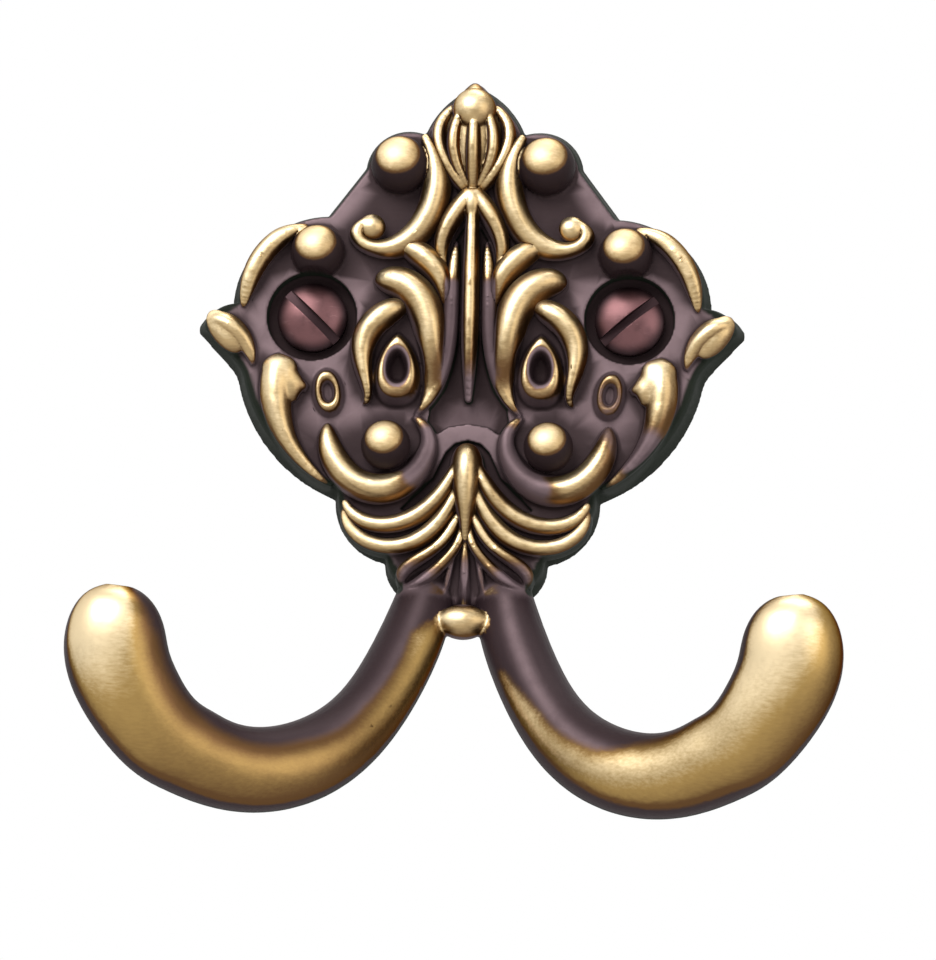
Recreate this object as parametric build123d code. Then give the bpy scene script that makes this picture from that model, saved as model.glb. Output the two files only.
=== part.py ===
from build123d import *
import os

# Double coat hook: one zinc die casting with two arms, held to the wall by two slotted wood screws.
# It is drawn lying on its back in millimetres, x across, y up the wall and z out from the wall,
# with the origin on the wall half way between the screws. The last step stands it up.

# Backplate
field = 4.0                 # thickness of the plain field that the ornament stands on
plate_middle = -3.5         # height that the side walls lean towards
wall_lean = 0.032           # share of its size that the plate loses up to the bevel
bevel = 0.6                 # depth of the bevel on the front edge
bevel_lean = 0.014          # share of its size that the plate loses across the bevel
foot = 3.0                  # depth from which an inner relief rises, inside the field
rim_foot = 1.2              # depth from which a relief on the edge rises

# Screws and their seats
screw_spacing = 37.8
screw_height = -0.1         # the screw line, measured from the origin
neck_radius = 2.1           # plain neck between the head and the wall
thread_radius = 1.8         # the thread, drawn as a plain shank behind the wall
shank_length = 25.0
point_length = 5.0
head_radius = 4.15
head_edge = 1.0             # straight side of the head
head_dome = 1.3             # rise of the head above its straight side
slot_width = 1.1
slot_depth = 1.5
slot_angles = (-44, 40)     # left and right screw, as they were left by the driver
seat_floor = 2.2            # metal left under the head
seat_clearance = 1.2        # gap round the head
hole_clearance = 0.3

# Beads: place across and up, radius, and how far the bead's centre stands over the field
beads = {
    "top": (8.75, 18.2, 3.45, 1.2),
    "side": (18.3, 7.5, 3.2, 1.2),
    "lower": (9.6, -15.9, 2.95, 1.8),
    "scroll_end": (11.9, 10.5, 1.4, 1.1),
}

# Rounded cap on the bud at the top: height up the wall, radius, and centre over the field
bud_cap = (24.9, 2.4, 1.6)

# Sunk panels behind the centre rib and round the shell's drop, right halves from the top down. The
# field left between them is a flat bridge from one crescent to the other.
trunk_panel = [
    (0, 12.6), (1.9, 9.4), (2.2, 4.0), (2.4, -3.0), (4.4, -9.6), (5.0, -14.6), (3.8, -14.3),
    (2.4, -13.3), (0, -12.9),
]
shell_panel = [
    (0, -14.9), (1.5, -15.3), (2.6, -16.4), (4.0, -19.4), (8.0, -23.4), (0, -23.4),
]
panel_depth = 0.8

# Hook arms: across, up, out from the wall, width across the arm, thickness out from the wall
arm_stations = [
    (3.0, -26.0, 2.3, 4.2, 2.6),
    (4.6, -33.4, 3.2, 6.7, 5.0),
    (6.3, -39.8, 6.8, 7.7, 6.5),
    (9.2, -46.5, 10.8, 8.0, 6.9),
    (13.8, -52.7, 15.8, 8.9, 7.5),
    (22.1, -56.5, 21.3, 9.8, 8.1),
    (29.9, -54.9, 25.4, 10.4, 8.5),
    (35.3, -50.2, 28.5, 11.3, 8.9),
    (37.5, -46.1, 29.7, 11.7, 9.1),
    (38.1, -42.5, 30.4, 11.4, 8.9),
    (38.0, -39.7, 30.7, 9.6, 7.7),
    (37.9, -37.9, 30.8, 6.6, 5.2),
    (37.8, -37.0, 30.9, 2.8, 2.2),
]

# Pellet that bridges the two arms
pellet_height = -37.0
pellet_half_length = 3.5
pellet_radius = 2.1
pellet_depth = 6.4          # height of its middle over the wall

# Raised ornament, right side only. Each row is across, up, half width, rise over the field.
scroll = [
    (5.9, 21.6, 0.5, 2.2), (4.6, 18.4, 1.6, 3.0), (4.4, 14.8, 2.0, 3.2), (6.2, 10.4, 1.9, 2.9),
    (10.8, 7.9, 1.3, 2.4), (13.5, 9.2, 1.1, 2.4), (12.4, 11.2, 0.8, 2.2),
]
rim_leaf = [
    (18.9, 10.1, 0.9, 1.6), (22.0, 9.6, 1.3, 2.3), (24.4, 7.6, 1.4, 2.5), (26.1, 4.6, 1.2, 2.3),
    (27.0, 0.9, 0.5, 1.1),
]
ear = [
    (31.2, -0.9, 0.7, 1.2), (29.3, -1.2, 1.8, 2.4), (27.2, -2.9, 1.8, 2.2), (25.7, -6.2, 0.6, 0.9),
]
flank_leaf = [
    (22.4, -4.9, 1.1, 1.0), (22.8, -6.4, 2.3, 2.3), (22.9, -9.4, 2.7, 2.7), (22.1, -13.6, 2.1, 2.4),
    (19.4, -17.9, 1.3, 1.7), (15.9, -20.7, 0.5, 0.8),
]
flank_spike = [
    (22.6, -7.4, 1.5, 2.0), (21.0, -8.1, 1.3, 1.9), (19.2, -9.0, 0.6, 1.1),
]
upper_leaf = [
    (8.7, 8.5, 0.5, 0.9), (7.6, 8.2, 1.3, 2.3), (5.8, 7.1, 1.7, 3.0), (3.9, 5.0, 1.5, 3.0),
    (2.9, 1.6, 0.5, 1.6),
]
inner_leaf = [
    (11.2, 4.0, 0.6, 1.0), (9.9, 4.2, 1.7, 2.7), (7.4, 3.3, 2.2, 3.5), (5.2, 0.2, 2.2, 3.7),
    (4.3, -4.4, 1.8, 3.2), (5.2, -10.6, 0.6, 1.2),
]
outer_leaf = [
    (7.6, 1.2, 0.6, 1.2), (8.9, 0.7, 1.4, 2.6), (10.9, -0.6, 1.8, 3.1), (12.6, -3.8, 1.7, 2.9),
    (12.2, -10.8, 0.5, 1.2),
]
palmette_arm = [
    (0.2, 14.8, 1.2, 2.6), (2.1, 12.2, 1.4, 2.9), (3.5, 9.0, 1.1, 2.4), (3.3, 6.2, 0.5, 1.2),
]
crescent = [
    (16.6, -13.3, 0.5, 0.9), (16.6, -14.8, 1.3, 2.1), (15.0, -18.6, 2.0, 2.8), (11.0, -21.0, 2.2, 3.0),
    (6.4, -19.2, 2.0, 2.2),
    (4.6, -15.4, 1.3, 1.6), (6.4, -12.2, 0.6, 0.8),
]
shell_upper = [
    (0.8, -17.8, 0.8, 2.4), (2.7, -21.2, 1.2, 2.9), (6.6, -24.6, 1.3, 2.4), (11.4, -25.1, 1.2, 1.9),
    (14.4, -22.6, 0.6, 1.2),
]
shell_lower = [
    (0.7, -20.4, 0.8, 2.2), (2.6, -24.2, 1.2, 2.4), (6.4, -27.4, 1.3, 2.0), (11.4, -27.4, 1.2, 1.7),
    (14.5, -23.6, 0.6, 1.0),
]
skirt_upper = [
    (0.6, -24.0, 0.5, 1.8), (2.5, -27.0, 0.7, 2.1), (5.0, -29.1, 0.8, 2.2), (7.3, -31.0, 0.9, 2.0),
    (7.4, -32.6, 0.6, 1.2),
]
skirt_lower = [
    (0.4, -25.6, 0.4, 1.6), (1.4, -28.4, 0.6, 2.0), (3.4, -30.7, 0.8, 2.2), (5.6, -32.4, 0.9, 2.2),
    (7.4, -32.8, 0.5, 1.2),
]
trunk_fold = [
    (1.8, 9.0, 0.3, 0.7), (2.0, 6.6, 0.7, 1.6), (2.3, -1.0, 1.1, 2.1), (3.2, -7.0, 1.0, 1.8),
    (6.2, -12.0, 0.5, 0.8),
]
trunk_flute = [
    (1.0, -27.4, 0.3, 0.6), (1.9, -31.2, 0.5, 1.1), (2.5, -35.0, 0.5, 0.8),
]

# Raised ornament on the centre line
bud = [
    (0, 28.3, 1.0, 0.9), (0, 25.8, 3.2, 2.4), (0, 22.4, 4.5, 2.7), (0, 18.4, 3.3, 2.3),
    (0, 15.0, 0.6, 1.2),
]
palmette_crown = [
    (0, 15.4, 0.6, 1.0), (0, 14.2, 1.6, 2.9), (0, 12.6, 1.3, 2.8), (0, 10.6, 0.4, 1.6),
]
rib = [
    (0, 13.6, 0.7, 2.6), (0, 6.0, 1.0, 3.0), (0, -4.0, 1.0, 2.6), (0, -10.4, 0.4, 1.4),
]
shell_drop = [
    (0, -15.7, 0.8, 1.2), (0, -16.7, 1.8, 3.2), (0, -19.0, 2.2, 4.0), (0, -22.4, 1.7, 3.6),
    (0, -27.0, 0.5, 1.8),
]
trunk_spur = [
    (0, -26.6, 0.3, 1.0), (0, -30.6, 0.7, 1.4), (0, -35.2, 0.9, 1.0),
]
bud_centre_petal = [
    (0, 24.6, 0.7, 3.2), (0, 20.0, 1.1, 3.8), (0, 15.2, 0.8, 1.6),
]

# Petals of the bud, right side
bud_inner_petal = [
    (1.4, 24.8, 0.6, 2.8), (2.4, 21.0, 0.9, 3.5), (0.7, 15.8, 0.6, 1.8),
]
bud_outer_petal = [
    (2.5, 25.2, 0.6, 1.8), (4.2, 21.4, 0.9, 2.7), (3.0, 18.0, 0.9, 2.7), (0.8, 15.2, 0.6, 1.4),
]

# Hollowed drops: across, up, half width, half height, turn in degrees, rise, hollow's share, and
# how pointed the top is, from 0 for an oval to 1 for an almond
eye_ring = (8.5, -6.5, 2.7, 4.3, 0, 2.6, 0.5, 0.8)
cheek_ring = (16.7, -9.4, 1.7, 2.8, -8, 1.5, 0.6, 0.1)


upright = (Align.CENTER, Align.CENTER, Align.MIN)


def plate_outline():
    """Right half of the backplate's edge where it meets the wall, from the tip down."""
    return [
        ThreePointArc((0, 29.2), (3.6, 26.9), (6.0, 23.2)),
        ThreePointArc((6.0, 23.2), (11.1, 22.5), (13.1, 18.9)),
        Line((13.1, 18.9), (17.7, 12.7)),
        ThreePointArc((17.7, 12.7), (25.6, 9.3), (28.7, 1.6)),
        ThreePointArc((28.7, 1.6), (31.0, 1.0), (32.4, -0.4)),
        ThreePointArc((32.4, -0.4), (32.7, -1.2), (32.2, -2.1)),
        Line((32.2, -2.1), (28.6, -6.0)),
        ThreePointArc((28.6, -6.0), (27.9, -7.2), (27.6, -8.4)),
        ThreePointArc((27.6, -8.4), (23.8, -15.9), (15.8, -21.7)),
        ThreePointArc((15.8, -21.7), (14.4, -26.3), (9.7, -29.3)),
        ThreePointArc((9.7, -29.3), (9.0, -31.9), (6.7, -33.9)),
        Line((6.7, -33.9), (2.6, -36.2)),
        Line((2.6, -36.2), (0, -36.2)),
    ]


def plate_section(level, drawn_in):
    """The backplate's face at a level, drawn in towards its middle by a share of its size."""
    right = [edge for curve in plate_outline() for edge in curve.edges()]
    left = [mirror(edge, about=Plane.YZ) for edge in right]
    face = scale(make_face(left + right), by=1 - drawn_in)
    return Pos(0, plate_middle * drawn_in, level) * face


def backplate():
    """Side walls that lean in towards the front, with a bevelled front edge."""
    walls = plate_section(0, 0), plate_section(field - bevel, wall_lean)
    edge = plate_section(field, wall_lean + bevel_lean)
    return loft([*walls, edge], ruled=True)


def sunk_panel(half_outline):
    """A block that is taken out of the plain field, from the right half of its outline."""
    right = Polyline(*half_outline)
    left = mirror(right, about=Plane.YZ)
    face = Pos(0, 0, field - panel_depth) * make_face(right.edges() + left.edges())
    return extrude(face, 2 * panel_depth)


def headings(points):
    """Direction of travel at each point, from its neighbours."""
    last = len(points) - 1
    return [
        (Vector(*points[min(i + 1, last)]) - Vector(*points[max(i - 1, 0)])).normalized()
        for i in range(last + 1)
    ]


def arch(half_width, height):
    """Cross-section of a raised strand: a steep, rounded arch on a flat foot."""
    shoulder = 0.6 * half_width
    peak = height / 0.75
    top = Bezier((-half_width, 0), (-shoulder, peak), (shoulder, peak), (half_width, 0))
    return make_face(top.edges() + Line((half_width, 0), (-half_width, 0)).edges())


def strand(stations, depth=foot):
    """A leaf or rib that follows its stations and is arched across them."""
    points = [(x, y) for x, y, _, _ in stations]
    sections = []
    for (x, y, half_width, rise), along in zip(stations, headings(points)):
        across = Vector(-along.Y, along.X, 0)
        plane = Plane(origin=(x, y, depth), x_dir=across, z_dir=along)
        sections.append(plane * arch(half_width, field + rise - depth))
    return loft(sections)


def bead(x, y, radius, lift):
    return Pos(x, y, field + lift) * Sphere(radius)


def drop(half_width, half_height, point, level):
    """A drop shape, pointed at the top by the share given and blunt at the bottom."""
    tip, base = (0, half_height), (0, -half_height)
    shoulder = ((1.33 - 0.28 * point) * half_width, (1 - 0.6 * point) * half_height)
    hip = ((1.33 + 0.27 * point) * half_width, -half_height)
    side = Bezier(tip, shoulder, hip, base)
    return Pos(0, 0, level) * make_face(side.edges() + mirror(side, about=Plane.YZ).edges())


def hollow_drop(x, y, half_width, half_height, turn, rise, hollow, point):
    """A raised drop with sloping sides and a sunk middle: the boss and its dish."""
    place = Pos(x, y, 0) * Rot(0, 0, turn)
    top = field + rise
    slope = 0.6
    boss = loft([
        drop(half_width + slope, half_height + slope, point, foot),
        drop(half_width * 0.8, half_height * 0.86, point, top),
    ])
    dish = loft([
        drop(half_width * hollow * 0.6, half_height * hollow * 0.7, point, field + 0.2 * rise),
        drop(half_width * hollow, half_height * hollow, point, top + 0.2),
    ])
    return place * boss, place * dish


def pellet():
    """A drop lying across the gap between the arms."""
    curve = ThreePointArc((-pellet_half_length, 0), (0, pellet_radius), (pellet_half_length, 0))
    chord = Line((pellet_half_length, 0), (-pellet_half_length, 0))
    body = revolve(make_face(curve.edges() + chord.edges()), axis=Axis.X)
    return Pos(0, pellet_height, pellet_depth) * body


def arm():
    """One arm: oval sections along its path, closing to a rounded end."""
    points = [(x, y, z) for x, y, z, _, _ in arm_stations]
    sections = []
    for (x, y, z, width, thickness), along in zip(arm_stations, headings(points)):
        across = Vector(0, 0, 1).cross(along).normalized()
        plane = Plane(origin=(x, y, z), x_dir=across, z_dir=along)
        sections.append(plane * Ellipse(width / 2, thickness / 2))
    return loft(sections)


def screw_places():
    return [(-screw_spacing / 2, screw_height), (screw_spacing / 2, screw_height)]


def seat_radius():
    return head_radius + seat_clearance


def casting():
    right_side = [bead(*beads[name]) for name in beads]
    right_side += [strand(path) for path in (
        scroll, upper_leaf, inner_leaf, outer_leaf, palmette_arm, trunk_fold, crescent, flank_spike,
        shell_upper, shell_lower, skirt_upper, skirt_lower, trunk_flute, bud_inner_petal,
        bud_outer_petal,
    )]
    right_side += [strand(path, rim_foot) for path in (rim_leaf, ear, flank_leaf)]
    right_side.append(arm())
    dishes = []
    for ring in (eye_ring, cheek_ring):
        boss, dish = hollow_drop(*ring)
        right_side.append(boss)
        dishes.append(dish)
    left_side = [mirror(piece, about=Plane.YZ) for piece in right_side]
    dishes += [mirror(piece, about=Plane.YZ) for piece in dishes]

    height, radius, lift = bud_cap
    middle = [strand(path) for path in (
        bud, bud_centre_petal, palmette_crown, rib, shell_drop, trunk_spur,
    )]
    middle += [bead(0, height, radius, lift), pellet()]

    plate = backplate() - sunk_panel(trunk_panel) - sunk_panel(shell_panel)
    body = plate.fuse(*right_side, *left_side, *middle)
    for x, y in screw_places():
        seat = Pos(x, y, seat_floor) * Cylinder(seat_radius(), 3 * field, align=upright)
        hole = Pos(x, y, -field) * Cylinder(neck_radius + hole_clearance, 3 * field, align=upright)
        body = body.cut(seat, hole)
    return body.cut(*dishes)


def screw(angle):
    """A slotted wood screw with a domed head, its bearing face at the origin."""
    crown = head_edge + head_dome
    shoulder = (head_radius * 0.54, head_edge + head_dome * 0.74)
    with BuildSketch(Plane.XZ) as half:
        with BuildLine():
            Polyline(
                (0, crown), (0, -shank_length), (thread_radius, point_length - shank_length),
                (thread_radius, -seat_floor), (neck_radius, -seat_floor), (neck_radius, 0),
                (head_radius, 0), (head_radius, head_edge),
            )
            ThreePointArc((head_radius, head_edge), shoulder, (0, crown))
        make_face()
    body = revolve(half.sketch, axis=Axis.Z)
    slot = Pos(0, 0, crown - slot_depth) * Box(3 * head_radius, slot_width, 3 * slot_depth, align=upright)
    return Rot(0, 0, angle) * (body - slot)


def screws():
    return Compound([
        Pos(x, y, seat_floor) * screw(angle)
        for (x, y), angle in zip(screw_places(), slot_angles)
    ])


os.makedirs("parts", exist_ok=True)
stand_up = Rot(90, 0, 0)
export_step(stand_up * casting(), "parts/hook_casting.step")
export_step(stand_up * screws(), "parts/mounting_screws.step")
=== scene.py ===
import math

import bmesh
import bpy
import numpy as np
from mathutils import Matrix, Vector


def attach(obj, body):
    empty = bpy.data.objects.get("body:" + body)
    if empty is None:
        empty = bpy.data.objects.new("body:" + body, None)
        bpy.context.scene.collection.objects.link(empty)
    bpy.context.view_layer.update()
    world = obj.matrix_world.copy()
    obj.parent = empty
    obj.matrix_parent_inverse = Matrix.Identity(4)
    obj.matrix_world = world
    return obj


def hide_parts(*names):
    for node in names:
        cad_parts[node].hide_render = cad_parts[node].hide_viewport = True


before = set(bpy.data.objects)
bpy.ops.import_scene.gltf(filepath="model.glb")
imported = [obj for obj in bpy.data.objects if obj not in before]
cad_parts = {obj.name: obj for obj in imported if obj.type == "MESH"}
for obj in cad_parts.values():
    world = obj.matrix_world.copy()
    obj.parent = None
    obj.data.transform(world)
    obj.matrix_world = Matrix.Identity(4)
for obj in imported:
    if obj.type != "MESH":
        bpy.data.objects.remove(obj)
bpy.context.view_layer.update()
scene = bpy.context.scene
scene.view_settings.view_transform = "Standard"

mm = 0.001


def say(stage):
    print("hook scene:", stage)


def newObject(name, data):
    obj = bpy.data.objects.new(name, data)
    scene.collection.objects.link(obj)
    return obj


# Camera, at the photograph's place: a little to the right of the hook and below it
camera = {
    "azimuth": 2.6,  # degrees to the right of straight on
    "elevation": -10.0,  # degrees above the hook, so it looks up
    "roll": 1.25,  # degrees that the hook leans clockwise in the picture
    "distance": 600 * mm,
    "target": (-0.05 * mm, 0.0, -18.95 * mm),
    "lens": 189.1,
    "sensorWidth": 36,
    "clipping": (0.05, 20),
}


def makeCamera():
    az, el, roll = (math.radians(camera[k]) for k in ("azimuth", "elevation", "roll"))
    back = Vector((math.sin(az) * math.cos(el), -math.cos(az) * math.cos(el), math.sin(el)))
    right = Vector((0, 0, 1)).cross(back).normalized()
    up = back.cross(right)
    x = right * math.cos(roll) + up * math.sin(roll)
    y = up * math.cos(roll) - right * math.sin(roll)
    data = bpy.data.cameras.new("photoCamera")
    data.lens = camera["lens"]
    data.sensor_width = camera["sensorWidth"]
    data.clip_start, data.clip_end = camera["clipping"]
    obj = newObject("photoCamera", data)
    turn = Matrix((x, y, back)).transposed().to_4x4()
    obj.matrix_world = Matrix.Translation(Vector(camera["target"]) + back * camera["distance"]) @ turn
    scene.camera = obj


makeCamera()
say("camera placed")


# Nodes: a socket that takes part in Python sums, and one way to add any other node
class Sum:
    def __init__(self, tree, socket):
        self.tree, self.socket = tree, socket

    def math(self, operation, *others, clamp=False):
        node = self.tree.nodes.new("ShaderNodeMath")
        node.operation, node.use_clamp = operation, clamp
        for i, value in enumerate((self, *others)):
            if isinstance(value, Sum):
                self.tree.links.new(value.socket, node.inputs[i])
            else:
                node.inputs[i].default_value = value
        return Sum(self.tree, node.outputs[0])

    def __add__(self, other):
        return self.math("ADD", other)

    def __sub__(self, other):
        return self.math("SUBTRACT", other)

    def __mul__(self, other):
        return self.math("MULTIPLY", other)

    def __truediv__(self, other):
        return self.math("DIVIDE", other)

    def __rsub__(self, other):
        return (self * -1.0).math("ADD", other)

    def __neg__(self):
        return self * -1.0

    __radd__, __rmul__ = __add__, __mul__

    def clamped(self):
        return self.math("ADD", 0.0, clamp=True)

    def step(self, low, high):
        # 0 below low, 1 above high and smooth between
        node = self.tree.nodes.new("ShaderNodeMapRange")
        node.interpolation_type = "SMOOTHSTEP"
        node.inputs["From Min"].default_value, node.inputs["From Max"].default_value = low, high
        self.tree.links.new(self.socket, node.inputs["Value"])
        return Sum(self.tree, node.outputs[0])


class NodeTree:
    def __init__(self, tree):
        self.tree = tree
        tree.nodes.clear()

    def node(self, kind, settings=None, sockets=None, out=0):
        node = self.tree.nodes.new(kind)
        for key, value in (settings or {}).items():
            setattr(node, key, value)
        for key, value in (sockets or {}).items():
            if isinstance(value, Sum):
                self.tree.links.new(value.socket, node.inputs[key])
            else:
                node.inputs[key].default_value = value
        return Sum(self.tree, node.outputs[out])

    def end(self, kind, result):
        output = self.tree.nodes.new(kind)
        self.tree.links.new(result.socket, output.inputs[0])


class Shader(NodeTree):
    def __init__(self, name):
        self.material = bpy.data.materials.new(name)
        self.material.use_nodes = True
        super().__init__(self.material.node_tree)

    def attribute(self, name):
        return self.node("ShaderNodeAttribute", {"attribute_name": name}, out="Fac")

    def place(self):
        return self.node("ShaderNodeTexCoord", out="Object")

    def stretched(self, vector, scale):
        return self.node("ShaderNodeMapping", sockets={"Vector": vector, "Scale": scale})

    def noise(self, vector, scale, detail):
        return self.node("ShaderNodeTexNoise", sockets={
            "Vector": vector, "Scale": scale, "Detail": detail, "Roughness": 0.55,
        })

    def mixColour(self, amount, first, second):
        return self.node(
            "ShaderNodeMix", {"data_type": "RGBA"}, {0: amount, 6: first, 7: second}, out=2
        )

    def bump(self, strength, distance, height):
        return self.node("ShaderNodeBump", sockets={
            "Strength": strength, "Distance": distance, "Height": height,
        })

    def principled(self, sockets):
        surface = self.node("ShaderNodeBsdfPrincipled", sockets=sockets)
        self.end("ShaderNodeOutputMaterial", surface)
        return self.material


# Studio: white all round for the camera and for reflections, and soft lamps for the rest
studio = {
    "ambient": 0.35,  # strength of the white surround on matt surfaces
    "floorHeight": -0.2,
    "floorSize": 3.0,
    "floorColour": (0.93, 0.93, 0.93, 1),
    "lamps": {  # place, aim, width, height, power
        "keyLamp": ((-0.30, -0.62, 0.46), (0, 0, -0.02), 0.60, 0.50, 6.0),
        "fillLamp": ((0.60, -0.50, 0.10), (0, 0, -0.02), 0.60, 0.60, 2.2),
        "rimLamp": ((0.10, 0.10, 0.60), (0, 0, -0.01), 0.50, 0.30, 1.6),
    },
}


def makeSurround():
    world = bpy.data.worlds.new("studioWorld")
    scene.world = world
    world.use_nodes = True
    maker = NodeTree(world.node_tree)
    white = (1, 1, 1, 1)
    shown = maker.node("ShaderNodeBackground", sockets={"Color": white, "Strength": 1.0})
    lit = maker.node("ShaderNodeBackground", sockets={"Color": white, "Strength": studio["ambient"]})
    sharp = maker.node("ShaderNodeLightPath", out="Is Camera Ray")
    rays = sharp.socket.node.outputs
    for name in ("Is Glossy Ray", "Is Transmission Ray"):
        sharp = sharp.math("MAXIMUM", Sum(maker.tree, rays[name]))
    surround = maker.node("ShaderNodeMixShader", sockets={0: sharp, 1: lit, 2: shown})
    maker.end("ShaderNodeOutputWorld", surround)


def makeLamps():
    for name, (place, aim, width, height, power) in studio["lamps"].items():
        light = bpy.data.lights.new(name, "AREA")
        light.shape, light.size, light.size_y, light.energy = "RECTANGLE", width, height, power
        lamp = newObject(name, light)
        lamp.location = place
        lamp.rotation_mode = "QUATERNION"
        lamp.rotation_quaternion = (Vector(aim) - Vector(place)).to_track_quat("-Z", "Y")


def makeFloor():
    half, z = studio["floorSize"] / 2, studio["floorHeight"]
    mesh = bpy.data.meshes.new("floor")
    corners = [(-half, -half, z), (half, -half, z), (half, half, z), (-half, half, z)]
    mesh.from_pydata(corners, [], [(0, 1, 2, 3)])
    floor = newObject("floor", mesh)
    paper = Shader("paleFloor")
    mesh.materials.append(paper.principled({"Base Color": studio["floorColour"], "Roughness": 0.8}))


makeSurround()
makeLamps()
makeFloor()
say("studio lit")


# Mesh helpers
def asPlainMesh(obj, name):
    graph = bpy.context.evaluated_depsgraph_get()
    mesh = bpy.data.meshes.new_from_object(obj.evaluated_get(graph))
    mesh.name = name
    bpy.data.objects.remove(obj)
    return newObject(name, mesh)


def addModifier(obj, kind, **values):
    modifier = obj.modifiers.new(kind.lower(), kind)
    for key, value in values.items():
        setattr(modifier, key, value)


def meshArray(items, name, width):
    values = np.empty(len(items) * width, dtype=np.float32)
    items.foreach_get(name, values)
    return values.reshape(-1, width).astype(np.float64)


def ease(value, low, high):
    # 0 below low, 1 above high and smooth between
    t = np.clip((value - low) / (high - low), 0, 1)
    return t * t * (3 - 2 * t)


def fall(value, low, high):
    return 1 - ease(value, low, high)


def offCentre(points, x, z, width=1.0, height=1.0):
    # Distance from a place on either half of the hook, as a share of an oval's half sizes
    return np.hypot((np.abs(points[:, 0]) - x) / width, (points[:, 2] - z) / height)


# The casting: the CAD solid, softened as a casting is. Sizes are in millimetres, a place is given
# as across, up, and stands for both halves, and a height is measured from the wall
casting = {
    "voxel": 0.18,
    "softening": 3,  # smoothing passes over the fused skin
    "triangles": 190000,
    "reliefFoot": (4.4, 5.2),  # height over which the raised ornament begins
    "ornamentEnd": (-33, -31),  # up, where the ornament gives way to the arms
    "fullness": 0.24,  # added all round the ornament, as a cast and plated edge swells
    "fullLeaves": [  # across, up, half sizes, more fullness: by the rings and on the rim
        (7.2, 0.5, 4.6, 8.0, 0.65), (25.4, 7.0, 4.0, 6.0, 1.1),
    ],
    "rings": [(8.5, -6.5, 3.3, 5.0), (16.7, -9.4, 2.4, 3.4)],  # across, up, half sizes
    "flankLeaf": (22.1, -7.4, 3.6, 3.4),
    "rounding": 45,  # smoothing passes over the rings and the flank leaf
    "beads": [(8.75, 18.2, 3.6), (18.3, 7.5, 3.35), (9.6, -15.9, 3.1)],  # across, up, radius
    "petals": [  # across, up, out, half width, half length, half thickness, lean outwards
        (22.5, -6.5, 4.7, 2.1, 1.4, 1.5, 0), (21.9, -7.6, 4.7, 1.4, 2.4, 1.6, 0),
        (21.0, -8.8, 4.6, 1.2, 1.9, 1.4, -8), (29.1, -2.3, 4.6, 1.5, 3.0, 1.5, 38),
    ],
}


def addPetals(mesh):
    # Full bodies under the leaves of the rim, which the remesh fuses with them
    build = bmesh.new()
    build.from_mesh(mesh)
    for across, up, out, width, length, thickness, lean in casting["petals"]:
        for side in (-1, 1):
            place = Matrix.Translation((side * across * mm, -out * mm, up * mm))
            place = place @ Matrix.Rotation(math.radians(side * lean), 4, "Y")
            place = place @ Matrix.Diagonal((width * mm, thickness * mm, length * mm, 1))
            bmesh.ops.create_uvsphere(build, u_segments=32, v_segments=16, radius=1.0, matrix=place)
    build.to_mesh(mesh)
    build.free()


def swellOrnament(mesh):
    points = meshArray(mesh.vertices, "co", 3) / mm
    normals = meshArray(mesh.vertices, "normal", 3)
    swelling = ease(-points[:, 1], *casting["reliefFoot"])
    swelling *= ease(points[:, 2], *casting["ornamentEnd"])
    for x, z, width, height, more in casting["fullLeaves"]:
        swelling *= 1 + more * fall(offCentre(points, x, z, width, height), 0.6, 1.4)
    beads = [(x, z, radius, radius) for x, z, radius in casting["beads"]]
    for oval in casting["rings"] + beads:
        swelling *= offCentre(points, *oval) > 1
    points[:, [0, 2]] += normals[:, [0, 2]] * (swelling * casting["fullness"])[:, None]
    mesh.vertices.foreach_set("co", (points * mm).astype(np.float32).ravel())
    mesh.update()


def markWornRound(obj):
    worn = obj.vertex_groups.new(name="wornRound")
    points = meshArray(obj.data.vertices, "co", 3) / mm
    for oval in (*casting["rings"], casting["flankLeaf"]):
        marked = (offCentre(points, *oval) < 1) & (-points[:, 1] > casting["reliefFoot"][0])
        worn.add(np.flatnonzero(marked).tolist(), 1.0, "REPLACE")


def makeCasting():
    # The finished skin, and the points of the finer skin that it is thinned from
    obj = newObject("castingDraft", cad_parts["hook_casting"].data.copy())
    addPetals(obj.data)
    addModifier(obj, "WELD", merge_threshold=1e-7)
    addModifier(obj, "REMESH", mode="VOXEL", voxel_size=casting["voxel"] * mm, use_smooth_shade=True)
    addModifier(obj, "SMOOTH", iterations=casting["softening"], factor=0.5)
    obj = asPlainMesh(obj, "castingFused")
    swellOrnament(obj.data)
    markWornRound(obj)
    addModifier(obj, "SMOOTH", iterations=casting["rounding"], factor=0.5, vertex_group="wornRound")
    obj = asPlainMesh(obj, "castingRounded")
    faces = len(obj.data.polygons)
    say("fused skin has %d faces" % faces)
    finePoints = meshArray(obj.data.vertices, "co", 3) / mm
    share = casting["triangles"] / (2 * faces)  # the fused skin is all quads
    addModifier(obj, "DECIMATE", ratio=share, use_collapse_triangulate=True)
    obj = asPlainMesh(obj, "hook_casting_skin")
    say("skin thinned to %d triangles" % len(obj.data.polygons))
    return obj, finePoints


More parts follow.
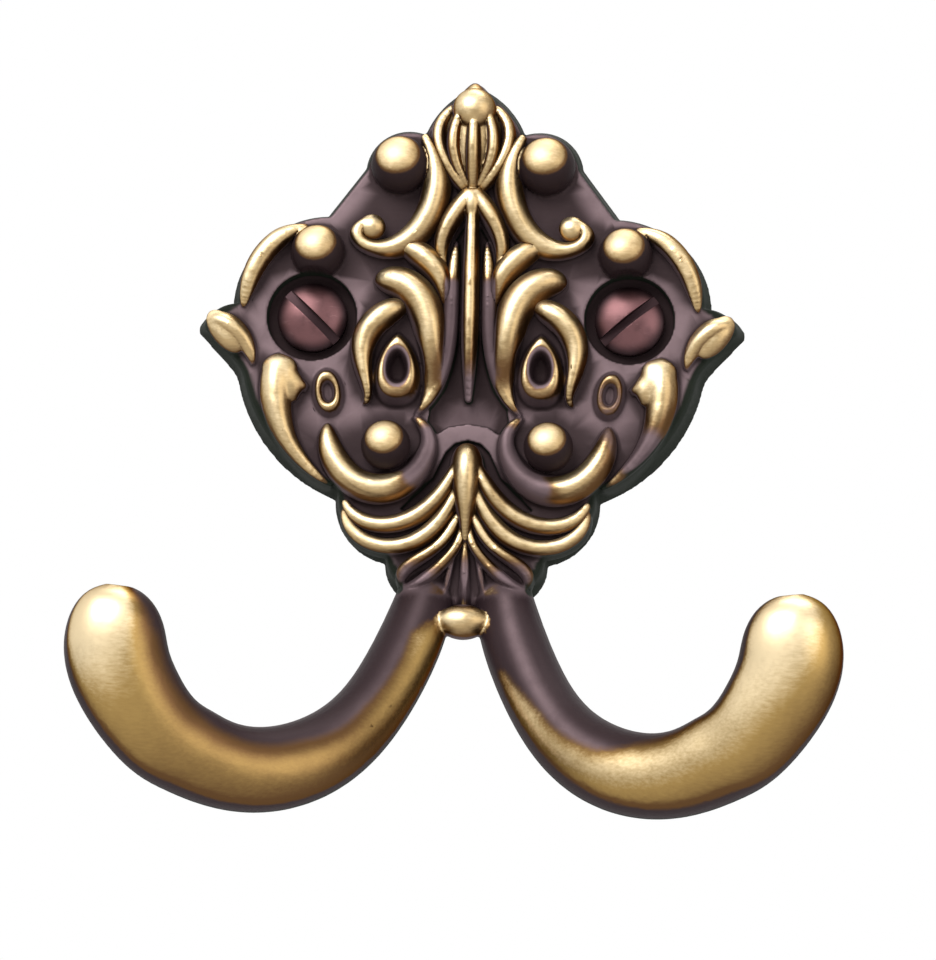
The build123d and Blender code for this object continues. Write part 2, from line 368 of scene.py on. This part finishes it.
# Wear, and painted light and shade: where the dark patina is rubbed back to the metal, worked out
# from the relief, and on which sides light and shade are painted. A side is a direction from the hook,
# and a pair is where a change begins and ends
wear = {
    "lean": (0.154, -0.965, 0.212),  # side that the polishing wheel came from
    "paintedLightSide": (-0.30, -0.82, 0.44),  # side from which light is painted on the ornament: it is painted brightest there
    "beadLean": (-0.08, -0.93, 0.36),  # side on which the beads are rubbed; the unrubbed lower side also stands as painted shade
    "armPaintedLightSide": (-0.399, -0.848, 0.349),  # side from which light is painted on the arms: they are painted brightest there
    "armPaintedShine": (-56, -40),  # up: a painted highlight makes the arms brighter towards their tips
    "cell": 0.25,  # of the height map
    "border": 6.0,  # of the height map, round the hook
    "wheel": 2.0,  # radius that the polishing wheel spans without dipping
    "reach": (1.95, 2.85),  # how far below the wheel it rubs
    "crown": (0.3, 1.5),  # how far below the wheel the patina gets a painted sheen
    "lowest": (4.65, 5.25),  # height below which nothing is rubbed
    "eyeRing": (8.5, -6.5, 2.7, 4.3),  # across, up, half sizes: only its outer half is rubbed
    "eyeRingThin": (-9.6, -6.5),  # up: it is rubbed less towards its foot
    "flutes": ((1.0, 1.5), (2.8, 3.4)),  # across: the dark grooves beside the middle rib
    "fluteMiddle": -3.5,
    "fluteEnds": (6.5, 9.5),  # up or down from their middle
    "pellet": (0.0, -37.0, 3.2, 2.1),  # across, up, half sizes
    "reliefHigh": 5.2,  # height over which the pellet stands out of the arms
    "armStart": (33.2, 34.2),  # down
    "hollows": [(0.8, 0.0, 0.9), (2.2, 0.5, 1.6)],  # blur, depth where painted shade and gathered patina begin, their range
    "margin": (0.78, 0.97),  # share of plate in the blur around a place: it is less on the rim
    "marginTop": (2.0, 7.0),  # up: the rim gets painted shade only below
    "seat": (18.9, -0.1),  # across, up, of the screws' seats
    "seatRadius": 5.7,
    "seatRim": (6.6, 7.2),
    "spots": [  # across, up, radius, more or less rubbed, each on its own half
        (3.0, -7.0, 2.5, -0.5), (-3.0, -7.0, 2.5, -0.5), (15.5, -13.5, 2.2, -0.6),
        (4.6, -15.4, 2.6, -1.2), (-4.6, -15.4, 2.6, -1.2), (-15.5, -13.5, 1.5, -0.4),
        (6.2, -19.2, 2.6, -1.2), (-6.0, -19.2, 2.2, -1.1), (8.8, -21.5, 2.0, -0.8),
        (5.8, -32.3, 3.0, -1.1), (-5.8, -32.3, 3.0, -1.1), (21.0, -17.0, 4.2, -1.2),
        (0.0, -30.5, 2.6, -0.7), (0.0, -33.8, 1.7, -1.4), (0.0, -10.0, 2.6, -0.9),
        (0.0, -5.0, 2.6, -0.3), (16.7, -9.4, 2.4, -0.7), (-16.7, -9.4, 2.4, -0.3),
    ],
}
arm = {
    "line": [  # stations of the middle line: across, up, out, half width
        (3.0, -26.0, 2.3, 2.1), (4.6, -33.4, 3.2, 3.35), (6.3, -39.8, 6.8, 3.85),
        (9.2, -46.5, 10.8, 4.0), (13.8, -52.7, 15.8, 4.45), (22.1, -56.5, 21.3, 4.9),
        (29.9, -54.9, 25.4, 5.2), (35.3, -50.2, 28.5, 5.65), (38.0, -43.4, 30.4, 5.8),
        (38.0, -39.9, 30.7, 4.9), (37.8, -37.0, 30.9, 2.5),
    ],
    "steps": 161,  # points that the line is drawn with
    "rounding": 15,  # points that its corners are averaged over
    # Station, and how far the patina reaches there: -1 at the inner edge and 1 at the outer
    "patinaLeft": [
        (0, 1.4), (1.45, 1.3), (1.7, 0.4), (2.05, 0.02), (2.5, 0.09), (4.1, -0.08), (4.65, -0.26),
        (5.5, -0.5), (6.3, -0.7), (7.9, -0.86), (9.3, -0.8), (10.0, -0.7),
    ],
    "patinaRight": [
        (0, 1.4), (2.1, 1.3), (2.55, 0.62), (3.2, 0.3), (3.9, 0.12), (4.5, -0.07), (5.0, -0.56),
        (5.8, -0.89), (6.5, -1.1), (10.0, -1.3),
    ],
    "patinaEdge": (-0.35, 0.6),  # the same measure, on either side of where it ends
    "paintedStripeLeft": 0.35,  # how light the patina is painted along the middle, a painted sheen
    "paintedStripeRight": 0.8,
}


class HeightMap:
    # Height over the wall on a grid seen from the front
    def __init__(self, points):
        self.cell = wear["cell"]
        seen = points[:, [0, 2]]
        self.low = seen.min(axis=0) - wear["border"]
        size = ((seen.max(axis=0) + wear["border"] - self.low) / self.cell).astype(int) + 1
        self.height = np.zeros(size)
        where = ((seen - self.low) / self.cell).astype(int)
        np.maximum.at(self.height, (where[:, 0], where[:, 1]), -points[:, 1])

    def spread(self, grid, radius):
        reach = int(round(radius / self.cell))
        result = grid.copy()
        for i in range(-reach, reach + 1):
            for j in range(-reach, reach + 1):
                if i * i + j * j <= reach * reach:
                    result = np.maximum(result, np.roll(grid, (i, j), (0, 1)))
        return result

    def blur(self, grid, radius):
        # Three square averages one after the other come near to a round one
        reach = max(1, int(round(radius / self.cell / 1.7)))
        for _ in range(3):
            for axis in (0, 1):
                grid = sum(np.roll(grid, k, axis) for k in range(-reach, reach + 1)) / (2 * reach + 1)
        return grid

    def at(self, grid, points):
        place = (points[:, [0, 2]] - self.low) / self.cell - 0.5
        i, j = np.floor(place).astype(int).T
        u, v = (place - np.floor(place)).T
        low = grid[i, j] * (1 - v) + grid[i, j + 1] * v
        high = grid[i + 1, j] * (1 - v) + grid[i + 1, j + 1] * v
        return low * (1 - u) + high * u


class Skin:
    # The finished skin in millimetres, and how it stands in the relief and on the hook
    def __init__(self, mesh, finePoints):
        self.points = meshArray(mesh.vertices, "co", 3) / mm
        self.normals = meshArray(mesh.vertices, "normal", 3)
        self.height, self.front = -self.points[:, 1], -self.normals[:, 1]
        self.up = self.points[:, 2]
        self.map = HeightMap(finePoints)
        wheel = self.map.blur(self.map.spread(self.map.height, wear["wheel"]), wear["wheel"] / 2)
        self.depth = self.map.at(wheel, self.points) - self.height
        self.facing = self.normals @ wear["lean"]
        self.behind = np.maximum(ease(-self.front, 0.25, 0.9), self.height < 0.08)
        self.eyeRing = offCentre(self.points, *wear["eyeRing"])
        overPellet = offCentre(self.points, *wear["pellet"]) < 1.02
        onPellet = overPellet & (self.height > wear["reliefHigh"])
        self.onArm = ease(-self.up, *wear["armStart"]) * ~onPellet

    def blurred(self, grid, radius):
        return self.map.at(self.map.blur(grid, radius), self.points)


def rubbedOrnament(skin):
    rubbed = fall(skin.depth, *wear["reach"])
    for x, z, radius, amount in wear["spots"]:
        away = np.hypot(skin.points[:, 0] - x, skin.up - z)
        rubbed += amount * np.exp(-((away / radius) ** 2))
    rubbed *= ease(skin.height, *wear["lowest"]) * ease(skin.facing, 0.02, 0.5)

    slim = ease(skin.eyeRing, 0.5, 0.72) * (0.65 + 0.35 * ease(skin.up, *wear["eyeRingThin"]))
    rubbed = np.where(skin.eyeRing < 1.1, rubbed * slim, rubbed)
    across, (inner, outer) = np.abs(skin.points[:, 0]), wear["flutes"]
    flute = ease(across, *inner) * fall(across, *outer)
    flute *= fall(np.abs(skin.up - wear["fluteMiddle"]), *wear["fluteEnds"])
    rubbed *= 1 - 0.95 * flute

    # the dark lower crescent left unrubbed on each bead is partly painted shade
    beadRubbed = ease(skin.normals @ wear["beadLean"], 0.52, 0.8)
    for x, z, radius in casting["beads"]:
        onBead = (offCentre(skin.points, x, z) < radius) & (skin.height > 5.4)
        rubbed = np.where(onBead, beadRubbed, rubbed)
    return rubbed


def smoothed(values, window):
    padded = np.pad(values, window // 2, mode="reflect", reflect_type="odd")
    return np.convolve(padded, np.ones(window) / window, "valid")


def armPlace(points):
    # Along (in stations) and across (-1 inner, 1 outer) the nearer arm, for each point
    stations = np.array(arm["line"])
    last = len(stations) - 1
    steps = np.linspace(0, last, arm["steps"])
    columns = [np.interp(steps, np.arange(last + 1), column) for column in stations.T]
    x, z, out, halfWidth = (smoothed(column, arm["rounding"]) for column in columns)
    middle = np.stack([x, -out, z], 1)
    here = points.copy()
    here[:, 0] = np.abs(here[:, 0])
    nearest = np.empty(len(points), dtype=int)
    batch = 20000  # points at a time, to spare memory
    for start in range(0, len(points), batch):
        gap = here[start:start + batch, None, :] - middle[None]
        nearest[start:start + batch] = (gap ** 2).sum(axis=2).argmin(axis=1)
    travel = np.gradient(middle[:, [0, 2]], axis=0)
    travel /= np.linalg.norm(travel, axis=1)[:, None]
    outward = np.stack([travel[:, 1], -travel[:, 0]], 1)
    offset = here[:, [0, 2]] - middle[nearest][:, [0, 2]]
    return steps[nearest], (offset * outward[nearest]).sum(axis=1) / halfWidth[nearest]


def armWear(skin):
    # How far the arms are rubbed, and the painted sheen that lightens the patina along their middle
    along, across = armPlace(skin.points)
    onLeft = skin.points[:, 0] < 0
    ends = (np.interp(along, *zip(*arm[side])) for side in ("patinaLeft", "patinaRight"))
    rubbed = ease(across - np.where(onLeft, *ends), *arm["patinaEdge"]) * ease(skin.facing, 0.2, 0.6)
    paintedStripe = np.exp(-((across + 0.02) / 0.22) ** 2) * ease(skin.front, 0.3, 0.7)
    return rubbed, paintedStripe * np.where(onLeft, arm["paintedStripeLeft"], arm["paintedStripeRight"])


def hollowShade(skin):
    # Painted shade in the hollows, with the patina that gathers there: how deep a place lies below the
    # blurred relief, from 0 to 1
    shade = 0
    for span, light, deep in wear["hollows"]:
        depth = skin.blurred(skin.map.height, span) - skin.height
        shade = shade + np.clip((depth - light) / deep, 0, 1)
    return np.clip(shade, 0, 1)


def recessPatinaAndShade(skin):
    # Patina and painted shade in recesses, never rubbed or lightened: screw seats, the beads' surrounds,
    # inside the eye rings
    seat = offCentre(skin.points, *wear["seat"]) < wear["seatRadius"]
    dark = np.maximum(seat * fall(skin.height, 3.7, 4.1), fall(skin.eyeRing, 0.42, 0.56))
    for x, z, radius in casting["beads"]:
        nearBead = fall(offCentre(skin.points, x, z), radius, radius + 0.5)
        dark = np.maximum(dark, nearBead * (skin.height > 4.3))
    return dark


def wallShade(skin):
    # Painted shade, near black green: side walls of the plate and arms that turn from the front, and the
    # plate's lower rim
    onlyArm = skin.onArm > 0.5
    sideways = fall(skin.front, np.where(onlyArm, 0.0, 0.42), np.where(onlyArm, 0.35, 0.8))
    sideways *= np.maximum(skin.onArm, fall(skin.height, 3.9, 4.6))
    plateShare = skin.blurred((skin.map.height > 2.5) * 1.0, 1.5)
    margin = fall(plateShare, *wear["margin"]) * fall(skin.up, *wear["marginTop"])
    margin *= fall(skin.height, 5.2, 5.8) * ease(offCentre(skin.points, *wear["seat"]), *wear["seatRim"])
    return np.maximum(sideways, margin * (1 - skin.onArm)) * (1 - skin.behind)


def storeWearAndPaintedLight(obj, finePoints):
    skin = Skin(obj.data, finePoints)
    offArm, front = 1 - skin.onArm, 1 - skin.behind
    armRubbed, armPaintedSheen = armWear(skin)
    dark = recessPatinaAndShade(skin)
    # Painted sheen: patina painted lighter on crowns and open field turned to the front, over a lighter
    # patina tone on all the plate
    crown = fall(skin.depth, *wear["crown"]) * ease(skin.facing, 0.6, 1.0) * ease(skin.height, 4.6, 5.0)
    openFieldPaintedLight = ease(skin.height, 3.5, 3.9) * fall(skin.height, 4.3, 5.0) * ease(skin.front, 0.8, 0.97)
    toneAndPaintedSheen = np.maximum(openFieldPaintedLight, 0.45 + crown * 0.5) * offArm * (1 - dark)
    # Painted light: brighter where a point turns to the side the light is painted from, and on the arms
    # towards their tips
    armPaintedShine = skin.normals @ wear["armPaintedLightSide"] - 0.12 + 0.27 * ease(skin.up, *wear["armPaintedShine"])
    paintedShine = np.where(skin.onArm > 0.5, armPaintedShine, skin.normals @ wear["paintedLightSide"])
    values = {
        "rubbed": np.clip(rubbedOrnament(skin) * offArm + armRubbed * skin.onArm, 0, 1),
        # facing: the painted light and shade worked out above
        "facing": np.clip(paintedShine, 0, 1),
        "hollowPatinaAndShade": np.maximum(hollowShade(skin) * offArm, dark * 0.8) * front,
        "paintedWallShade": wallShade(skin),
        "toneAndPaintedSheen": toneAndPaintedSheen + skin.onArm * np.maximum(armPaintedSheen, skin.behind * 0.45),
        "onArm": skin.onArm,
    }
    for name, value in values.items():
        layer = obj.data.attributes.new(name, "FLOAT", "POINT")
        layer.data.foreach_set("value", value.astype(np.float32))


bronze = {
    # painted highlight on the gold's brightest side
    "paintedHighlight": (0.82, 0.66, 0.41, 1),
    "gold": (0.37, 0.24, 0.080, 1),  # of the arms
    "paleGold": (0.47, 0.335, 0.165, 1),  # of the ornament, rubbed further
    # brown at the edge of the rubbing, and painted shade on gold turned from the light
    "rubbedEdgeAndShade": (0.12, 0.062, 0.026, 1),
    # lighter patina tone, and painted sheen on crowns, open field and the arms' middles
    "field": (0.185, 0.130, 0.140, 1),
    "patina": (0.026, 0.015, 0.018, 1),
    # darkest patina, and painted shade, in the hollows
    "deep": (0.016, 0.009, 0.010, 1),
    # painted shade on walls turned from the front and on the plate's lower rim
    "wall": (0.005, 0.010, 0.006, 1),
    "tint": (0.35, 0.28, 0.26, 1),  # of reflections on the patina
    "grainSize": 3600.0,  # marks to a metre
    "blotchSize": 320.0,
    "relief": 0.02 * mm,  # depth of the grain
}


def bronzeMaterial():
    shader = Shader("antiqueBronze")
    place = shader.place()
    rubbed, facing = shader.attribute("rubbed"), shader.attribute("facing")
    hollowPatinaAndShade, wall = shader.attribute("hollowPatinaAndShade"), shader.attribute("paintedWallShade")
    toneAndPaintedSheen, onArm = shader.attribute("toneAndPaintedSheen"), shader.attribute("onArm")
    blotch = shader.noise(place, bronze["blotchSize"], 4.0)
    grain = shader.noise(shader.stretched(place, (0.25, 1.0, 1.0)), bronze["grainSize"], 4.0)
    uneven, grainy = blotch - 0.5, grain - 0.5  # about 0, so that they add to both sides

    # The patina: painted sheen where it is smooth, painted shade with gathered patina in the hollows,
    # and painted shade on the walls
    patina = shader.mixColour(toneAndPaintedSheen * (blotch + 0.45).clamped(), bronze["patina"], bronze["field"])
    deep = (hollowPatinaAndShade + uneven * 0.3).step(0.15, 0.9) * 0.85
    patina = shader.mixColour(deep, patina, bronze["deep"])
    patina = shader.mixColour(wall.step(0.3, 0.9), patina, bronze["wall"])

    # The bare metal: brown at the edge of the rubbing and painted shade on the side turned from the
    # light, then gold, and a painted highlight on the brightest side
    worn = rubbed + uneven * (0.3 - onArm * 0.22) + grainy * (0.2 - onArm * 0.1)
    metal = worn.step(0.15, 0.55)
    paintedShine = facing + grainy * 0.14 + uneven * (0.16 - onArm * 0.1) - onArm * 0.01
    gold = shader.mixColour(onArm, bronze["paleGold"], bronze["gold"])
    # painted shade: gold that turns from the painted light goes brown
    lit = (worn * 0.85 + paintedShine * 0.65 - 0.5).step(0.3, 0.92)
    gold = shader.mixColour(lit, bronze["rubbedEdgeAndShade"], gold)
    # painted highlight: the brightest side goes pale
    paintedHighlightShare = (worn * 0.35 + paintedShine * 0.65).step(0.75, 1.0)
    gold = shader.mixColour(paintedHighlightShare, gold, bronze["paintedHighlight"])

    return shader.principled({
        "Base Color": shader.mixColour(metal, patina, gold),
        "Metallic": metal * 0.7 + 0.3 - wall * 0.3,
        "Roughness": 0.45 - metal * 0.08 + grainy * 0.16 + hollowPatinaAndShade * 0.2 + wall * 0.25,
        "Specular Tint": bronze["tint"],
        "Normal": shader.bump(0.4, bronze["relief"], grain * 0.5 + blotch * 0.3),
    })


hook, finePoints = makeCasting()
storeWearAndPaintedLight(hook, finePoints)
say("wear worked out")
hook.data.materials.clear()
hook.data.materials.append(bronzeMaterial())
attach(hook, "root")
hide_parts("hook_casting")
say("casting finished")


# The two wood screws, made by one geometry tree and set in their holes
woodScrew = {
    "sizes": {  # named inputs of the tree, in millimetres
        "spacing": 37.8, "height": -0.1, "seat": 2.2,
        "head radius": 4.15, "head edge": 1.0, "dome": 1.3, "slot width": 1.1, "slot depth": 1.5,
        "neck radius": 2.1, "neck length": 3.0, "crest radius": 1.95, "root radius": 1.35,
        "pitch": 2.1, "length": 25.0, "point length": 5.0,
    },
    "turns": {"left turn": -44.0, "right turn": 40.0},  # degrees, as the driver left the slots
    "around": 48,  # faces round the axis
    "headRows": 26,
    "topShare": 0.6,  # of the head's rows, on the domed top
    "edgeShare": 0.16,  # the same on its edge, and the rest is the underside
    "shankRows": 221,
    "edgeSoftness": 0.09,
    "softenedFrom": 52,  # degrees between faces
}


class GeometryTree(NodeTree):
    def __init__(self, name, inputs):
        super().__init__(bpy.data.node_groups.new(name, "GeometryNodeTree"))
        interface = self.tree.interface
        self.keys = {}
        for label in inputs:
            socket = interface.new_socket(label, in_out="INPUT", socket_type="NodeSocketFloat")
            self.keys[label] = socket.identifier
        interface.new_socket("Geometry", in_out="OUTPUT", socket_type="NodeSocketGeometry")
        self.source = self.tree.nodes.new("NodeGroupInput")

    def value(self, label):
        return Sum(self.tree, self.source.outputs[label])

    def vector(self, x, y, z):
        return self.node("ShaderNodeCombineXYZ", sockets={"X": x, "Y": y, "Z": z})

    def part(self, vector, axis):
        return self.node("ShaderNodeSeparateXYZ", sockets={"Vector": vector}, out=axis)


def wrappedGrid(maker, rows, profile):
    # A grid wound round the z axis; profile gives radius and height from (share along, turn)
    grid = maker.node("GeometryNodeMeshGrid", sockets={
        "Size X": 1.0, "Size Y": 1.0, "Vertices X": rows, "Vertices Y": woodScrew["around"] + 1,
    })
    position = maker.node("GeometryNodeInputPosition")
    along = maker.part(position, "X") + 0.5
    turn = maker.part(position, "Y") + 0.5
    radius, height = profile(along, turn)
    angle = turn * (2 * math.pi)
    place = maker.vector(radius * angle.math("COSINE"), radius * angle.math("SINE"), height)
    return maker.node("GeometryNodeSetPosition", sockets={"Geometry": grid, "Position": place})


def screwTree(material):
    maker = GeometryTree("woodScrewMaker", [*woodScrew["sizes"], *woodScrew["turns"]])
    v = maker.value
    head, edge, dome = v("head radius"), v("head edge"), v("dome")
    ball = (head * head + dome * dome) / (dome * 2.0)  # radius of the domed top
    steepest = (head / ball).math("ARCSINE")
    topEnd = woodScrew["topShare"]
    edgeEnd = topEnd + woodScrew["edgeShare"]

    def headProfile(along, turn):
        tilt = steepest * (along / topEnd).clamped()
        side = ((along - topEnd) / (edgeEnd - topEnd)).clamped()
        under = ((along - edgeEnd) / (1 - edgeEnd)).clamped()
        height = edge + dome - ball * (1 - tilt.math("COSINE")) - side * edge
        return ball * tilt.math("SINE") - under * (head - v("neck radius")), height

    def shankProfile(along, turn):
        depth = along * v("length")
        left = v("length") - depth
        taper = (left / v("point length")).clamped().math("POWER", 0.75)  # a slightly full point
        wave = (depth / v("pitch") + turn).math("FRACT")
        flank = (1 - (wave - 0.5).math("ABSOLUTE") * 3.2).clamped()  # steep, with a flat root
        beyondNeck = depth - v("neck length")
        started = (beyondNeck / v("pitch")).clamped()
        root, crest = v("root radius"), v("crest radius")
        threaded = (root + (crest - root) * flank * started) * taper
        plain = (beyondNeck + 0.4 * mm).math("LESS_THAN", 0.0)
        return plain * v("neck radius") + (1 - plain) * threaded, -depth

    body = maker.node("GeometryNodeJoinGeometry", sockets={
        "Geometry": wrappedGrid(maker, woodScrew["headRows"], headProfile),
    })
    shank = wrappedGrid(maker, woodScrew["shankRows"], shankProfile)
    maker.tree.links.new(shank.socket, body.socket.node.inputs[0])
    seam = 0.004 * mm
    body = maker.node("GeometryNodeMergeByDistance", sockets={"Geometry": body, "Distance": seam})
    cutter = maker.node("GeometryNodeMeshCube", sockets={
        "Size": maker.vector(head * 3.0, v("slot width"), v("slot depth") * 4.0),
    })
    lift = edge + dome + v("slot depth")
    cutter = maker.node("GeometryNodeTransform", sockets={
        "Geometry": cutter, "Translation": maker.vector(0.0, 0.0, lift),
    })
    slotted = maker.node(
        "GeometryNodeMeshBoolean", {"operation": "DIFFERENCE", "solver": "EXACT"},
        {"Mesh 1": body, "Mesh 2": cutter},
    )
    index = maker.node("GeometryNodeInputIndex")
    spots = maker.node("GeometryNodePoints", sockets={
        "Count": 2,
        "Position": maker.vector((index - 0.5) * v("spacing"), -v("seat"), v("height")),
    })
    turn = v("left turn") + index * (v("right turn") - v("left turn"))
    screws = maker.node("GeometryNodeInstanceOnPoints", sockets={
        "Points": spots, "Instance": slotted,
        "Rotation": maker.vector(math.pi / 2, -turn, 0.0),
    })
    screws = maker.node("GeometryNodeRealizeInstances", sockets={"Geometry": screws})
    screws = maker.node("GeometryNodeSetMaterial", sockets={"Geometry": screws, "Material": material})
    maker.end("NodeGroupOutput", screws)
    return maker.keys, maker.tree


steel = {
    "plating": (0.145, 0.066, 0.068, 1),
    "worn": (0.46, 0.28, 0.27, 1),
    "thread": (0.27, 0.20, 0.165, 1),
    "dark": (0.030, 0.014, 0.016, 1),
    "shank": (-1.6, -0.6),  # millimetres from the wall's face, less than 0 in front: bare from here
    "slotAndRimShade": (-4.0, -3.3),  # the same: painted shade from here, on the slot and the head's rim
    "relief": 0.03 * mm,
}


def screwMaterial():
    shader = Shader("bronzedScrewSteel")
    place = shader.place()
    streak = shader.noise(shader.stretched(place, (1.0, 1.0, 5.0)), 700.0, 4.0)
    blotch = shader.noise(place, 420.0, 3.0)
    depth = shader.node("ShaderNodeSeparateXYZ", sockets={"Vector": place}, out="Y") * 1000.0
    colour = shader.mixColour(blotch.step(0.0, 0.6), steel["dark"], steel["plating"])
    colour = shader.mixColour(streak.step(0.60, 0.85) * 0.25, colour, steel["worn"])
    # painted shade in the slot and on the head's rim, which lie nearer the wall
    colour = shader.mixColour(depth.step(*steel["slotAndRimShade"]), colour, steel["dark"])
    colour = shader.mixColour(depth.step(*steel["shank"]), colour, steel["thread"])
    return shader.principled({
        "Base Color": colour,
        "Metallic": 0.8,
        "Roughness": 0.30 + blotch * 0.16,
        "Normal": shader.bump(0.3, steel["relief"], streak + blotch),
    })


def makeScrews():
    keys, tree = screwTree(screwMaterial())
    obj = newObject("screwDraft", bpy.data.meshes.new("screwDraft"))
    modifier = obj.modifiers.new("woodScrews", "NODES")
    modifier.node_group = tree
    for label, value in woodScrew["sizes"].items():
        modifier[keys[label]] = value * mm
    for label, value in woodScrew["turns"].items():
        modifier[keys[label]] = math.radians(value)
    obj = asPlainMesh(obj, "mounting_screws_threaded")
    addModifier(
        obj, "BEVEL", width=woodScrew["edgeSoftness"] * mm, segments=2,
        limit_method="ANGLE", angle_limit=math.radians(woodScrew["softenedFrom"]),
    )
    obj = asPlainMesh(obj, "mounting_screws_threaded")
    for polygon in obj.data.polygons:
        polygon.use_smooth = True
    return obj


screws = makeScrews()
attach(screws, "root")
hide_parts("mounting_screws")
say("screws set, %d faces" % len(screws.data.polygons))
